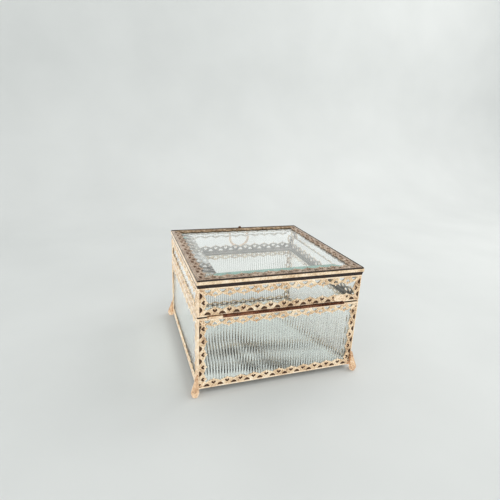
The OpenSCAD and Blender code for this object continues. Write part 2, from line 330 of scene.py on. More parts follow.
def gusset(u, v):
    points = [(u + GUSSET_W / 2 * math.cos(a), v + GUSSET_H * math.sin(a) ** 1.6)
              for a in turns(14, 0, math.pi)]
    return points + [(u - GUSSET_W / 2, v)]


def lace(shape, length, bar, start_cut, end_cut, shade_backed=False, back_mark=INSIDE):
    """Openwork between the bar at v = bar and the beads, with raised lines round each opening."""
    start, end, hearts = lace_span(length, start_cut, end_cut)
    tips = centres(start, end, hearts + 2)
    edge = [(u, v + bar) for u, v in scallop_line(start, end, tips, 0)]
    edge = [(end, bar - TUCK)] + edge[::-1] + [(start, bar - TUCK)]
    holes = [heart(u, bar + HEART_AT) for u in centres(start, end, hearts)]
    holes += [gusset(u, bar + GUSSET_AT) for u in centres(start, end, hearts + 1)]
    shape.stamp([edge] + holes, OPEN, back_mark)
    # A shade-backed strip gets a dark sheet just behind its openings: painted shade, where the openings
    # would show the shaded inside of the box.
    if shade_backed:
        inner = [(u, v + bar) for u, v in scallop_line(start, end, tips, SHADE_SHEET_INSET) if v > 0]
        shade_outline = [(end, bar - TUCK)] + inner[::-1] + [(start, bar - TUCK)]
        shape.stamp([shade_outline], DARK, DARK, -RECESS, SHADE_SHEET_THICK, SHADE_SHEET_EDGE)
    for hole in holes:
        shape.ridge(grown(hole, RIDGE_W * 0.55), True)
    line = scallop_line(start, end, tips, RIDGE_W * 0.6)
    shape.ridge([(u, v + bar) for u, v in line if v > 0.2 * MM], False)
    for u in tips:
        if min(u - start, end - u) > BEAD_AT:
            shape.dome(u, bar + BEAD_AT, BEAD_R, BEAD_H)


def channel_end(depth):
    """Where a channel ends along its side, at this depth."""
    return HALF - max(depth, CORNER_BAR) - GAP


def mitred_end(depth):
    """Where a mitred run ends along its side, at this depth."""
    return HALF - depth - GAP


def channel_mesh(name, bar, depth, lip, shade_backed=False, back_mark=INSIDE, inside=None):
    """Folded channel: rim, web over the pane's edge, inner lip, and lace on the outer face."""
    soft = 0.12 * MM
    fold = 0.4 * MM
    shape = Shape()
    rim = [(-RIM, 0, fold), (METAL, 0, soft), (METAL, bar, soft), (-RIM, bar, soft)]
    shape.bar(rounded(rim), channel_end, BAR)
    shape.bar(rounded([(METAL - TUCK, 0.04 * MM, 0), (depth, 0.04 * MM, soft), (depth, METAL, soft),
                       (METAL - TUCK, METAL, 0)]), channel_end, INSIDE)
    if lip:
        shape.bar(rounded([(depth - METAL, METAL / 2, 0), (depth, METAL / 2, 0), (depth, lip, soft),
                           (depth - METAL, lip, soft)]), channel_end, INSIDE)
    lace(shape, 2 * HALF, bar, CORNER_BAR, CORNER_BAR, shade_backed, back_mark)
    # Inside faces default to brass painted dark grey as shade; the dark sheet behind openings is painted
    # shade as well.
    return shape.mesh(name, (POLISHED, STAMPED_SHADED, inside or SHADED_INNER, SHADE_SHEET))


def side_frame(side):
    """Local axes of a side: x along it, y into the box from the frame's outer face, z up."""
    return Matrix.Rotation(math.pi / 2 * side, 4, "Z") @ Matrix.Translation((0, -HALF, 0))


def standing(height, up):
    """Stands flat work (u, v, w) on a side's outer face, its folded edge at this height."""
    stand = Matrix(((1, 0, 0, 0), (0, 0, -1, 0), (0, 1, 0, 0), (0, 0, 0, 1)))
    turn = Matrix.Rotation(0 if up else math.pi, 4, "Z")
    return Matrix.Translation((0, 0, height)) @ stand @ turn


def show(mesh, node, matrix):
    """Puts a finished mesh in place of a CAD node, on the node's body."""
    piece = bpy.data.objects.new(node + "_piece", mesh)
    bpy.context.scene.collection.objects.link(piece)
    piece.matrix_world = matrix
    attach(piece, frame["nodes"][node]["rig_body"])
    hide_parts(node)


def make_channels():
    """Four rings of channels. Some rear and left strips have a dark sheet painted as shade behind their
    openings.
    """
    brim, brim_shade_backed = [
        channel_mesh("base_top_lace", BRIM_BAR, CHANNEL_DEPTH, CHANNEL_LIP, shade_backed, back_mark=OPEN)
        for shade_backed in (False, True)]
    foot = channel_mesh("base_foot_lace", FOOT_BAR, FLOOR_LEDGE, 0, back_mark=OPEN)
    foot_shade_backed = channel_mesh("base_foot_lace_shade_backed", FOOT_BAR, FLOOR_LEDGE, 0, shade_backed=True)
    plain = channel_mesh("lid_lace", EDGE_BAR, CHANNEL_DEPTH, CHANNEL_LIP)
    shade_backed = channel_mesh("lid_lace_shade_backed", EDGE_BAR, CHANNEL_DEPTH, CHANNEL_LIP, shade_backed=True)
    # The front upper strip's inside faces get a lighter grey copy of the inside brass: painted light.
    pale = channel_mesh("lid_lace_inner_lit", EDGE_BAR, CHANNEL_DEPTH, CHANNEL_LIP, inside=LIT_INNER)
    upper = (plain, plain, pale, shade_backed)
    for i, side in enumerate(SIDES):
        strips = (("base_top_lace_", brim_shade_backed if side == "left" else brim, BASE_HIGH, False),
                  ("base_foot_lace_", foot_shade_backed if side in ("rear", "left") else foot, BASE_LOW, True),
                  ("lid_lower_lace_", shade_backed if side in ("rear", "left") else plain, LID_LOW, True),
                  ("lid_upper_lace_", upper[i], LID_HIGH, False))
        for kind, mesh, height, up in strips:
            show(mesh, kind + side, side_frame(i) @ standing(height, up))


def top_lace_mesh(name, metal, shade_backed):
    length = 2 * -low("top_lace_left").x
    rim = rounded([(-RIM, 0, 0.2 * MM), (METAL, 0, 0.1 * MM), (METAL, EDGE_BAR, 0.1 * MM),
                   (-RIM, EDGE_BAR, 0.2 * MM)])
    shape = Shape()
    shape.loft([[(sign * (length / 2 - GAP - v), v, -w) for w, v in rim] for sign in (-1, 1)])
    lace(shape, length, EDGE_BAR, EDGE_BAR, EDGE_BAR, shade_backed)
    # Back faces in brass painted dark as shade; the dark sheet behind openings is painted shade too.
    return shape.mesh(name, (metal, metal, SHADED_INNER, SHADE_SHEET))


def make_top_lace():
    """Flat strips on the top pane; the front one is the darkest. The right, front and left strips have a
    dark sheet painted as shade behind their openings.
    """
    edge = HALF + low("top_lace_rear").y
    clean = top_lace_mesh("top_lace", PINK, False)
    shade_backed = top_lace_mesh("top_lace_shade_backed", PINK, True)
    front_dark = top_lace_mesh("top_lace_front_dark", FRONT_DARK, True)
    for i, (side, mesh) in enumerate(zip(SIDES, (clean, shade_backed, front_dark, shade_backed))):
        place = side_frame(i) @ Matrix.Translation((0, edge, high("top_lace_rear").z))
        show(mesh, "top_lace_" + side, place)


# ---------------------------------------------------------------- corners and feet

def corner_frame(corner):
    """Local axes at a corner: x and y run along the two sides from the corner."""
    return side_frame(corner) @ Matrix.Translation((-HALF, 0, 0))


def corner_plan():
    """Rounded fold of a corner trim, seen from above."""
    arc = [math.pi * 1.5 - math.pi / 2 * i / 10 for i in range(11)]
    outer_r = CORNER_R + RIM
    inner_r = CORNER_R - METAL
    outer = [(CORNER_R + outer_r * math.cos(a), CORNER_R + outer_r * math.sin(a)) for a in arc]
    inner = [(CORNER_R + inner_r * math.cos(a), CORNER_R + inner_r * math.sin(a)) for a in arc]
    return [(CORNER_BAR, -RIM)] + outer + [(-RIM, CORNER_BAR), (METAL, CORNER_BAR)] + inner[::-1] \
        + [(CORNER_BAR, METAL)]


def wing(height, low_bar, high_bar, along_x, shade_backed):
    """Flat openwork of one wing of a corner trim."""
    shape = Shape()
    cuts = (high_bar, low_bar) if along_x else (low_bar, high_bar)
    # The wing along y puts the dark sheet, painted as shade, on the backs of its openwork.
    lace(shape, height, CORNER_BAR, *cuts, shade_backed, OPEN if along_x else DARK)
    if along_x:
        rows = ((0, 1, 0, 0), (0, 0, -1, 0), (-1, 0, 0, height / 2), (0, 0, 0, 1))
    else:
        rows = ((0, 0, -1, 0), (0, 1, 0, 0), (1, 0, 0, height / 2), (0, 0, 0, 1))
    matrix = Matrix(rows)
    shape.verts = [matrix @ v for v in shape.verts]
    return shape


def corner_mesh(name, height, low_bar, high_bar, shade_backed):
    shape = Shape()
    shape.loft([[(x, y, z) for x, y in corner_plan()] for z in (0, height)])
    for along_x in (True, False):
        part = wing(height, low_bar, high_bar, along_x, shade_backed)
        start = len(shape.verts)
        shape.verts += part.verts
        shape.faces += [tuple(i + start for i in f) for f in part.faces]
        shape.marks += part.marks
    # Inside faces in brass painted dark as shade, and the painted shade sheet behind openings.
    return shape.mesh(name, (POLISHED, STAMPED_SHADED, SHADED_INNER, SHADE_SHEET))


def foot_mesh():
    """Teardrop foot that wraps round the outside of a corner.

    A station is (height, radius, how far its middle stands out from the corner), in millimetres.
    """
    stations = ((0, 2.35, 1.85), (0.2, 2.7, 1.85), (0.9, 2.85, 1.85), (1.3, 2.75, 1.85), (1.7, 3.1, 1.85),
                (2.6, 3.5, 1.85), (3.4, 3.6, 1.85), (4.4, 3.5, 1.85), (4.94, 3.4, 1.82), (5.0, 3.38, 1.8),
                (5.6, 3.2, 1.72), (6.0, 2.9, 1.65), (6.4, 3.05, 1.6), (7.4, 2.95, 1.45), (9, 2.6, 1.2),
                (11, 2.2, 0.9), (13, 1.85, 0.6), (15, 1.55, 0.35), (17, 1.2, 0.12), (18.2, 0.85, 0.02),
                (18.8, 0.5, 0), (19, 0.12, 0))
    rings = []
    for z, radius, out in stations:
        ring = []
        for a in turns(28, math.pi / 4):
            x = (radius * math.cos(a) - out) * MM
            y = (radius * math.sin(a) - out) * MM
            if z * MM >= FOOT_LIFT - GAP and min(x, y) > -GAP:
                x, y = (-GAP, y) if x < y else (x, -GAP)
            ring.append((x, y, z * MM))
        rings.append(ring)
    shape = Shape()
    shape.loft(rings)
    return shape.mesh("foot", (CAST,))


def make_corners():
    base_tall = BASE_HIGH - BASE_LOW
    lid_tall = LID_HIGH - LID_LOW
    # The rear corners take the version with painted shade behind their openings.
    bases = [corner_mesh("base_corner", base_tall, FOOT_BAR, BRIM_BAR, shade_backed) for shade_backed in (True, False)]
    lids = [corner_mesh("lid_corner", lid_tall, EDGE_BAR, EDGE_BAR, shade_backed) for shade_backed in (True, False)]
    foot = foot_mesh()
    base_up = Matrix.Translation((0, 0, BASE_LOW))
    lid_up = Matrix.Translation((0, 0, LID_LOW))
    for i, corner in enumerate(CORNERS):
        place = corner_frame(i)
        show(bases[i // 2], "base_corner_" + corner, place @ base_up)
        show(lids[i // 2], "lid_corner_" + corner, place @ lid_up)
        show(foot, "foot_" + corner, place)


# ---------------------------------------------------------------- rail and seam

def make_rails():
    """Bright moulding on a strip of dark solder, with the ledge and lip that hold the top pane. The strip
    and the ledge are dark solder and also painted shade, for the grooves round the moulding and the hollow
    under the top lace.

    The moulding's outline (depth, height) is drawn for a rail that is 5 tall and 0.8 proud.
    """
    moulding = ((-0.1, 1.05), (-0.55, 1.1), (-0.75, 1.22), (-0.8, 1.4), (-0.7, 1.6), (-0.66, 2.45),
                (-0.7, 3.3), (-0.8, 3.5), (-0.75, 3.7), (-0.55, 3.83), (-0.1, 3.88))
    tall = RAIL_HIGH - RAIL_LOW
    profile = [(d / 0.8 * RAIL_PROUD, h / 5 * tall) for d, h in moulding]
    strip = -0.25 * RAIL_PROUD
    core = [(strip, 0), (RAIL_LEDGE, 0), (RAIL_LEDGE, METAL), (0, METAL), (0, tall), (strip, tall)]
    lip_high = high("top_lace_rear").z - RAIL_LOW
    lip_end = HALF + low("top_lace_rear").y - GAP
    lip_low = lip_high - METAL
    lip = rounded([(-GAP, lip_low, 0), (lip_end, lip_low, 0), (lip_end, lip_high, 0.2 * MM),
                   (-GAP, lip_high, 0)])
    # The rear lip is painted dark as shade; the front lip takes the darkest top brass.
    for i, (side, lip_metal) in enumerate(zip(SIDES, (SOLDER_AND_SHADE, PINK, FRONT_DARK, PINK))):
        shape = Shape()
        for mark, outline in enumerate((profile, core, lip)):
            shape.bar(outline, mitred_end, mark)
        mesh = shape.mesh("lid_rail", (RAIL, SOLDER_AND_SHADE, lip_metal))
        show(mesh, "lid_rail_" + side, side_frame(i) @ standing(RAIL_LOW, True))


def make_seam():
    """Uneven line of dark solder under the rail, one run along each side; its darkness also serves as
    painted shade in the groove there.
    """
    shape = Shape()
    near = HALF + low("lid_seam").y
    floor = low("lid_seam").z
    height = high("lid_seam").z - floor
    outline = rounded([(near, 0, 0.4 * MM), (CHANNEL_DEPTH, 0, 0.2 * MM), (CHANNEL_DEPTH, height, 0.2 * MM),
                       (near, height, 0.4 * MM)])
    stations = 60
    for i in range(4):
        place = side_frame(i)
        rings = []
        for k in range(stations + 1):
            share = 2 * k / stations - 1
            ring = []
            for d, h in outline:
                x = share * mitred_end(d)
                sway = wobble(x, h + i, d, 0.35 * MM, 260) if 0 < k < stations else 0
                ring.append(place @ Vector((x, d + max(sway, -0.1 * MM), floor + h)))
            rings.append(ring)
        shape.loft(rings)
    show(shape.mesh("lid_seam", (SOLDER_AND_SHADE,)), "lid_seam", Matrix())


# ---------------------------------------------------------------- glass

def slab(shape, levels, half_x, half_y, marks, cap_marks):
    """Stack of rectangles; a level is (inset, height)."""
    rings = [[(sx * (half_x - inset), sy * (half_y - inset), z)
              for sx, sy in ((-1, -1), (1, -1), (1, 1), (-1, 1))] for inset, z in levels]
    shape.loft(rings, marks, cap_marks=cap_marks)


def make_top_glass():
    """Clear pane with a narrow flat land and a wide bevel underneath. The rear bevel alone is painted green
    with a faint painted glow, standing in for the green reflection seen inside the glass.
    """
    top = high("top_glass").z
    bottom = low("top_glass").z
    land = RAIL_LOW + METAL + GAP
    part_way = land + (bottom - land) * (PAINTED_GREEN_FROM - BEVEL_FROM) / (BEVEL_TO - BEVEL_FROM)
    levels = ((ARRIS, top), (0, top - ARRIS), (0, land + ARRIS), (ARRIS, land), (BEVEL_FROM, land),
              (PAINTED_GREEN_FROM, part_way), (BEVEL_TO, bottom))
    shape = Shape()
    slab(shape, levels, high("top_glass").x, high("top_glass").y, (1, 1, 1, 0, 0, 0), (0, 0))
    # Only the rear bevel gets the painted green.
    rear_bevel = 4 * (len(levels) - 2)
    shape.marks[rear_bevel] = 2
    mesh = shape.mesh("top_glass", (CLEAR, EDGE, BEVEL), sharp=4)
    show(mesh, "top_glass", Matrix())


def upright_pane(name, width, thickness, height):
    """Flat pane whose edges sit in the channels; its edge faces are painted dark as shade."""
    levels = ((ARRIS, 0), (0, ARRIS), (0, thickness - ARRIS), (ARRIS, thickness))
    shape = Shape()
    slab(shape, levels, width / 2, height / 2, (1, 1, 1), (0, 0))
    swap = Matrix(((1, 0, 0, 0), (0, 0, 1, 0), (0, -1, 0, height / 2), (0, 0, 0, 1)))
    shape.verts = [swap @ v for v in shape.verts]
    return shape.mesh(name, (CLEAR, PANE_EDGE_SHADE), sharp=20)


def fluted_pane(name, width, thickness, height):
    """Pane with half-round flutes on its outer face. Its edges sit in the channels, and its edge faces are
    painted dark as shade.
    """
    count = int(width / FLUTE_PITCH)
    fluted = count * FLUTE_PITCH / 2
    half = width / 2
    outline = [(half, FLUTE_DEPTH), (half, thickness), (-half, thickness), (-half, FLUTE_DEPTH)]
    for i in range(count * FLUTE_STEPS + 1):
        share = i / FLUTE_STEPS
        outline.append((-fluted + share * FLUTE_PITCH, FLUTE_DEPTH * (1 - abs(math.sin(share * math.pi)))))
    shape = Shape()
    shape.loft([[(x, y, z) for x, y in outline] for z in (0, height)], cap_marks=(1, 1))
    return shape.mesh(name, (FLUTED, PANE_EDGE_SHADE), sharp=40)


def pane_size(kind, side):
    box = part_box(kind + "_pane_" + side)
    extent = box[1] - box[0]
    return max(extent.x, extent.y), min(extent.x, extent.y), extent.z


def make_side_panes():
    for kind, build, slot in (("base", fluted_pane, "fluted_glass"), ("lid", upright_pane, "clear_glass")):
        meshes = [build(kind + "_pane", *pane_size(kind, side)) for side in SIDES[:2]]
        depth = HALF + low(kind + "_pane_rear").y
        for i, side in enumerate(SIDES):
            place = side_frame(i) @ Matrix.Translation((0, depth, low(kind + "_pane_rear").z))
            show(meshes[i % 2], kind + "_pane_" + side, place)


def make_mirror():
    floor = low("mirror_floor").z
    top = high("mirror_floor").z
    levels = ((ARRIS, top), (0, top - ARRIS), (0, floor + ARRIS), (ARRIS, floor))
    shape = Shape()
    slab(shape, levels, high("mirror_floor").x, high("mirror_floor").y, (1, 1, 1), (0, 2))
    # The mirror's edge faces are painted dark as shade.
    show(shape.mesh("mirror_floor", (MIRROR, PANE_EDGE_SHADE, BACKING), sharp=20), "mirror_floor", Matrix())


# ---------------------------------------------------------------- hinge

def about_hinge(x, radius, a):
    return (x, HINGE.y + radius * math.cos(a), HINGE.z + radius * math.sin(a))


def tube(shape, start, end, outer):
    """Tube along X about the hinge line, with chamfered ends."""
    chamfer = 0.15 * MM
    outline = ((start, BORE_R), (start, outer - chamfer), (start + chamfer, outer), (end - chamfer, outer),
               (end, outer - chamfer), (end, BORE_R))
    shape.loft([[about_hinge(x, r, a) for x, r in outline] for a in turns(32)], around=True)


def solder_run(shape, start, end, up, mark):
    """Uneven fillet of solder between a tube and the rear lace.

    Its outline is (y, height from the hinge line in millimetres).
    """
    sign = 1 if up else -1
    lace_y = -HALF - GAP
    outline = ((HINGE.y - 0.1 * MM, 0.9), (HINGE.y + 0.6 * MM, 1.12), (lace_y, 1.18), (lace_y, 0.66),
               (HINGE.y, 0.7))
    count = max(6, int((end - start) / (1.2 * MM)))
    rings = []
    for k in range(count + 1):
        x = start + (end - start) * k / count
        swell = 1 + wobble(x, 0.3, sign, 0.12, 420)
        rings.append([(x, y, HINGE.z + sign * h * MM * (swell if h > 1 else 1)) for y, h in outline])
    shape.loft(rings, (mark,))


def make_hinge():
    """Long tube on the base, a short one at each end on the lid, and the pin with its rounded heads."""
    for node, up in (("hinge_tube", False), ("lid_knuckle_left", True), ("lid_knuckle_right", True)):
        start = low(node).x
        end = high(node).x
        shape = Shape()
        tube(shape, start, end, HINGE.y - low(node).y)
        solder_run(shape, start + 0.4 * MM, end - 0.4 * MM, up, 1)
        # The long tube and the right knuckle take brass painted near black-brown as the shade in the gap;
        # the left knuckle keeps polished brass and shows bright.
        metal = POLISHED if node == "lid_knuckle_left" else SHADED_TUBE
        show(shape.mesh(node, (metal, SOLDER_AND_SHADE)), node, Matrix())
    stations = ((0, 0.2), (0.1, 0.5), (0.3, 0.75), (0.55, 0.88), (0.8, 0.9), (0.84, PIN_R / MM))
    left = low("hinge_pin").x
    right = high("hinge_pin").x
    ends = [(left + d * MM, r * MM) for d, r in stations]
    ends += [(right - d * MM, r * MM) for d, r in stations[::-1]]
    shape = Shape()
    shape.loft([[about_hinge(x, r, a) for a in turns(24)] for x, r in ends])
    show(shape.mesh("hinge_pin", (CAST,)), "hinge_pin", Matrix())


# ---------------------------------------------------------------- small pieces

def make_tag():
    """Oval tag with a rolled rim round a shallow dish.

    A step is (inset in millimetres, share of the thickness).
    """
    node = "oval_plate"
    extent = high(node) - low(node)
    thick = extent.y / MM
    steps = ((0.2, 0), (0, 0.25), (0, 0.6), (0.15, 0.9), (0.4, 1), (0.65, 0.92), (0.85, 0.66), (1.3, 0.58),
             (2.2, 0.62), (3.2, 0.68))
    rings = []
    for inset, rise in steps:
        ring = []
        for a in turns(56):
            x = (extent.x / 2 - inset * MM) * math.cos(a)
            z = (extent.z / 2 - inset * MM) * math.sin(a)
            ring.append((middle(node).x + x, high(node).y - rise * thick * MM, middle(node).z + z))
        rings.append(ring)
    shape = Shape()
    shape.loft(rings)
    show(shape.mesh(node, (POLISHED,)), node, Matrix())


def make_eye():
    """Band eye soldered to the rail, which the ring hangs in."""
    node = "ring_eye"
    outer = high(node).y - EYE.y
    half = (high(node).x - low(node).x) / 2
    bore = outer - 0.7 * MM
    soft = 0.25 * MM
    outline = rounded([(-half, bore, soft), (half, bore, soft), (half, outer, soft), (-half, outer, soft)])
    shape = Shape()
    rings = [[(EYE.x + x, EYE.y + r * math.cos(a), EYE.z + r * math.sin(a)) for x, r in outline]
             for a in turns(40)]
    shape.loft(rings, around=True)
    wall = low(node).y
    pad = []
    for grow, rise in ((0.25, 0), (0.1, 0.25), (-0.15, 0.5), (-0.5, 0.8)):
        pad.append([(EYE.x + (half + grow * MM) * math.cos(a), wall + rise * MM,
                     EYE.z + (2 + (2 + grow) * math.sin(a)) * MM) for a in turns(28)])
    shape.loft(pad)
    show(shape.mesh(node, (CAST,)), node, Matrix())


def make_ring():
    """Round wire ring with a soldered joint."""
    node = "ring_pull"
    wire = (high(node).y - low(node).y) / 2
    radius = (high(node).x - low(node).x) / 2 - wire
    centre = middle(node)
    rings = []
    for a in turns(120):
        joint = math.exp(-((a - math.pi * 1.5) / 0.035) ** 2)
        r = wire * (1 - 0.1 * joint) * (1 + wobble(math.cos(a), math.sin(a), 2, 0.012, 9))
        ring = []
        for b in turns(20):
            out = radius + r * math.cos(b)
            across = Vector((out * math.cos(a), r * math.sin(b), out * math.sin(a)))
            ring.append(centre + across)
        rings.append(ring)
    shape = Shape()
    shape.loft(rings, around=True)
    show(shape.mesh(node, (CAST,)), node, Matrix())


def make_rail_bead():
    """Low domed stud on a soldered collar, on top of the front rail.

    A station is (share of the height, share of the radius).
    """
    node = "rail_bead"
    radius = (high(node).x - low(node).x) / 2
    tall = high(node).z - low(node).z
    stations = ((0, 1.0), (0.08, 1.0), (0.16, 0.9), (0.3, 0.93), (0.5, 0.86), (0.7, 0.7), (0.86, 0.48),
                (0.96, 0.26), (1, 0.06))
    rings = [[(middle(node).x + radius * k * math.cos(t), middle(node).y + radius * k * math.sin(t),
               low(node).z + tall * h) for t in turns(24)] for h, k in stations]
    shape = Shape()
    shape.loft(rings)
    # The stud takes the same darkened brass, painted as shade, as the hinge tube.
    show(shape.mesh(node, (SHADED_TUBE,)), node, Matrix())


# ---------------------------------------------------------------- materials

class Recipe:
    """A node material, put together step by step."""

    def __init__(self, name):
        self.material = bpy.data.materials.new(name)
        self.material.use_nodes = True
        self.tree = self.material.node_tree
        self.tree.nodes.clear()
        self.place = self.add("ShaderNodeTexCoord").outputs["Object"]

    def add(self, kind, inputs=None, **settings):
        node = self.tree.nodes.new(kind)
        for key, value in settings.items():
            setattr(node, key, value)
        for key, value in (inputs or {}).items():
            if isinstance(value, bpy.types.NodeSocket):
                self.tree.links.new(value, node.inputs[key])
            else:
                node.inputs[key].default_value = value
        return node

    def noise(self, scale, detail=3.0, stretch=(1, 1, 1)):
        mapping = self.add("ShaderNodeMapping", {"Vector": self.place, "Scale": stretch})
        inputs = {"Vector": mapping.outputs[0], "Scale": scale, "Detail": detail}
        return self.add("ShaderNodeTexNoise", inputs).outputs[0]

    def ramp(self, factor, stops):
        node = self.add("ShaderNodeValToRGB", {"Fac": factor})
        while len(node.color_ramp.elements) < len(stops):
            node.color_ramp.elements.new(0.5)
        for element, (position, colour) in zip(node.color_ramp.elements, stops):
            element.position = position
            element.color = (*colour, 1)
        return node.outputs[0]

    def spread(self, factor, low_value, high_value, start=0.3, end=0.7):
        node = self.add("ShaderNodeMapRange", {"Value": factor, "From Min": start, "From Max": end,
                                               "To Min": low_value, "To Max": high_value})
        return node.outputs[0]

    def mix(self, factor, a, b, blend="MIX"):
        node = self.add("ShaderNodeMix", data_type="RGBA", blend_type=blend)
        for index, value in ((0, factor), (6, a), (7, b)):
            if isinstance(value, bpy.types.NodeSocket):
                self.tree.links.new(value, node.inputs[index])
            elif index:
                node.inputs[index].default_value = (*value, 1)
            else:
                node.inputs[index].default_value = value
        return node.outputs[2]

    def bump(self, height, strength, distance, normal=None):
        inputs = {"Height": height, "Strength": strength, "Distance": distance}
        if normal:
            inputs["Normal"] = normal
        return self.add("ShaderNodeBump", inputs).outputs[0]

    def finish(self, surface):
        output = self.add("ShaderNodeOutputMaterial")
        self.tree.links.new(surface.outputs[0], output.inputs["Surface"])
        return self.material


def brass(name, tones, gloss, hammer, tarnish):
    """Rose-gold plate: drifting tone, darker tarnish, fine scratches and a slightly uneven surface."""
    mat = Recipe(name)
    broad = mat.noise(90, 2)
    fine = mat.noise(700, 4)
    tone = mat.ramp(mat.mix(0.45, broad, fine), list(zip((0.36, 0.5, 0.66), tones)))
    worn = mat.spread(mat.noise(260, 5), 0, tarnish, 0.56, 0.74)
    colour = mat.mix(worn, tone, (0.38, 0.2, 0.11))
    scratch = mat.noise(900, 3, (1, 1, 0.12))
    rough = mat.spread(mat.mix(0.5, fine, scratch), *gloss)
    normal = mat.bump(mat.noise(420, 3), hammer, 0.12 * MM)
    normal = mat.bump(scratch, 0.12, 0.03 * MM, normal)
    return mat.finish(mat.add("ShaderNodeBsdfPrincipled", {
        "Base Color": colour, "Metallic": 1.0, "Roughness": rough, "Normal": normal}))


def glass(name, tint, gloss, ripple, ripple_size=28):
    """Clear glass with faint smears. Lamps shine through it."""
    mat = Recipe(name)
    smear = mat.noise(45, 5)
    colour = mat.ramp(smear, ((0.3, [c * 0.97 for c in tint]), (0.7, tint)))
    rough = mat.spread(smear, *gloss)
    normal = mat.bump(mat.noise(ripple_size, 2), ripple, 0.3 * MM)
    solid = mat.add("ShaderNodeBsdfPrincipled", {
        "Base Color": colour, "Roughness": rough, "IOR": 1.5, "Transmission Weight": 1.0, "Normal": normal})
    clear = mat.add("ShaderNodeBsdfTransparent", {"Color": colour})
    lamp = mat.add("ShaderNodeLightPath").outputs["Is Shadow Ray"]
    return mat.finish(mat.add("ShaderNodeMixShader", {0: lamp, 1: solid.outputs[0], 2: clear.outputs[0]}))


def ground_edge(name, tones, painted_glow, clear):
    """Green of thick glass, with a faint painted glow (emission) standing in for the light that runs along
    inside the pane.
    """
    mat = Recipe(name)
    grain = mat.noise(1400, 4)
    colour = mat.ramp(mat.noise(120, 3), list(zip((0.35, 0.65), tones)))
    return mat.finish(mat.add("ShaderNodeBsdfPrincipled", {
        "Base Color": colour, "Roughness": mat.spread(grain, 0.3, 0.55), "IOR": 1.5,
        "Transmission Weight": clear, "Emission Color": colour, "Emission Strength": painted_glow,
        "Normal": mat.bump(grain, 0.25, 0.05 * MM)}))


def silvering():
    mat = Recipe("mirror_face")
    haze = mat.noise(38, 5)
    specks = mat.spread(mat.noise(850, 2), 0, 1, 0.7, 0.78)
    tone = mat.ramp(haze, ((0.3, (0.83, 0.87, 0.86)), (0.7, (0.92, 0.95, 0.94))))
    colour = mat.mix(specks, tone, (0.55, 0.58, 0.58))
    return mat.finish(mat.add("ShaderNodeBsdfPrincipled", {
        "Base Color": colour, "Metallic": 1.0, "Roughness": mat.spread(haze, 0.015, 0.06),
        "Normal": mat.bump(mat.noise(30, 2), 0.06, 0.2 * MM)}))


def mirror_backing():
    mat = Recipe("mirror_backing")
    grain = mat.noise(600, 5)
    colour = mat.ramp(grain, ((0.3, (0.13, 0.14, 0.15)), (0.7, (0.22, 0.23, 0.24))))
    return mat.finish(mat.add("ShaderNodeBsdfPrincipled", {
        "Base Color": colour, "Roughness": mat.spread(grain, 0.55, 0.8),
        "Normal": mat.bump(grain, 0.3, 0.08 * MM)}))


def dark_solder_and_painted_shade():
    """Oxidised solder, lumpy, with a few bright rubbed spots. The same dark also stands for painted shade:
    in the grooves round the rail, on the ledge under the top pane and on the rear lip.
    """
    mat = Recipe("dark_solder_and_painted_shade")
    lumps = mat.noise(520, 4)
    rubbed = mat.spread(mat.noise(340, 3), 0, 0.4, 0.64, 0.76)
    tone = mat.ramp(lumps, ((0.35, (0.012, 0.007, 0.006)), (0.68, (0.05, 0.026, 0.018))))
    return mat.finish(mat.add("ShaderNodeBsdfPrincipled", {
        "Base Color": mat.mix(rubbed, tone, (0.2, 0.11, 0.07)), "Metallic": 0.4,
        "Roughness": mat.spread(lumps, 0.3, 0.6), "Normal": mat.bump(lumps, 0.7, 0.25 * MM)}))


def painted_shade_fill(name, tones, strength):
    """Dark matt fill painted as shade, behind the openings and round the panes' edges."""
    mat = Recipe(name)
    grain = mat.noise(480, 4)
    colour = mat.ramp(grain, list(zip((0.35, 0.68), tones)))
    return mat.finish(mat.add("ShaderNodeBsdfPrincipled", {
        "Base Color": colour, "Roughness": mat.spread(grain, 0.45, 0.75), "Specular IOR Level": 0.12,
        "Normal": mat.bump(grain, strength, 0.1 * MM)}))


def stage_material():
    mat = Recipe("stage")
    mottle = mat.noise(7, 4)
    colour = mat.ramp(mottle, ((0.3, (0.655, 0.67, 0.67)), (0.7, (0.695, 0.71, 0.71))))
    return mat.finish(mat.add("ShaderNodeBsdfPrincipled", {
        "Base Color": colour, "Roughness": 0.75, "Specular IOR Level": 0.2}))


ROSE_TONES = ((0.7, 0.48, 0.31), (0.94, 0.75, 0.55), (1.0, 0.91, 0.76))
RAIL_TONES = ((0.6, 0.42, 0.26), (0.87, 0.68, 0.48), (0.99, 0.87, 0.7))
# Stamped sheet darker than the polished ridges on it: patina, with painted shade in the hollows of the
# stamping.
STAMP_SHADE_TONES = ((0.33, 0.2, 0.11), (0.78, 0.58, 0.38), (1.0, 0.9, 0.72))
CAST_TONES = ((0.5, 0.3, 0.18), (0.82, 0.56, 0.36), (0.98, 0.8, 0.6))
PINK_TONES = ((0.24, 0.16, 0.11), (0.47, 0.35, 0.265), (0.72, 0.58, 0.46))
FRONT_DARK_TONES = ((0.14, 0.09, 0.05), (0.38, 0.26, 0.16), (0.74, 0.55, 0.37))
# Near black-brown brass for the hinge tube: painted shade of the gap it lies in.
SHADED_TUBE_TONES = ((0.04, 0.015, 0.009), (0.13, 0.048, 0.028), (0.32, 0.15, 0.09))
# Grey-brown inside brass: the rose brass painted dark as the shade inside the box.
INNER_SHADE_TONES = ((0.12, 0.11, 0.09), (0.2, 0.185, 0.16), (0.34, 0.31, 0.27))
LIT_INNER_TONES = ((0.34, 0.32, 0.28), (0.5, 0.48, 0.43), (0.66, 0.63, 0.57))
POLISHED = brass("rose_brass_polished", ROSE_TONES, (0.1, 0.26), 0.25, 0.25)
